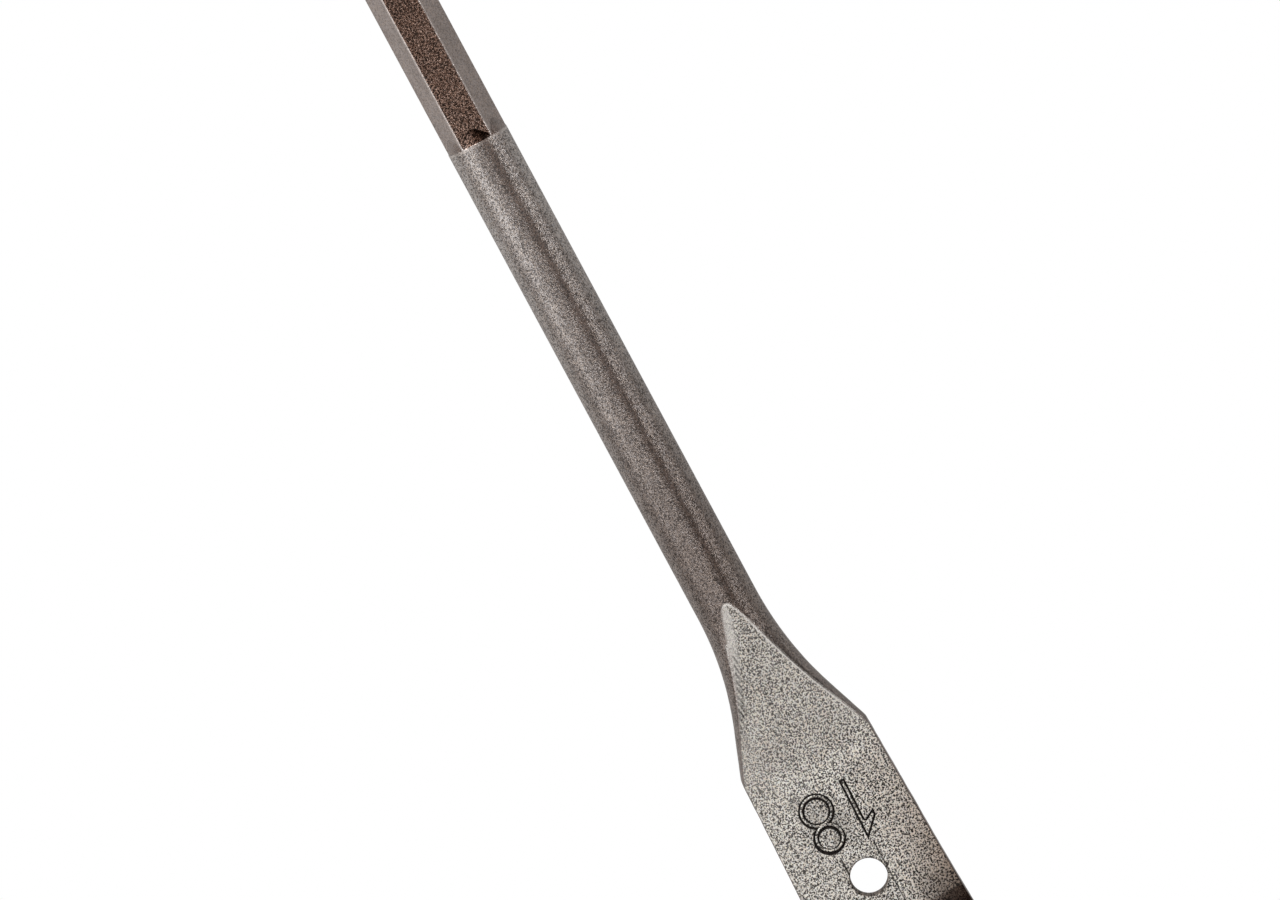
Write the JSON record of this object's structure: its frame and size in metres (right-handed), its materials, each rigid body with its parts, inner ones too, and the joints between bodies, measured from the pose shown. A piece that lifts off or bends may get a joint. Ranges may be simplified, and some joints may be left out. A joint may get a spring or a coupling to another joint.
{
  "type": "spade drill bit",
  "caption": "Spade drill bit: hexagonal shank, round stem and a flat forged blade with a hanging hole, two hollow-ground lips and a tapered centre point, for boring wood.",
  "frame": {"origin": "on the axis, at the end face of the hexagonal shank", "axes": "+X along the axis towards the point, +Z square to the blade on its marked side, +Y across the blade"},
  "size_m": [0.152, 0.018, 0.0074],
  "materials": {
    "blasted_steel": "blasted tool steel, matt brownish grey"
  },
  "bodies": {
    "root": {"spade_bit": "blasted_steel"}
  },
  "joints": []
}
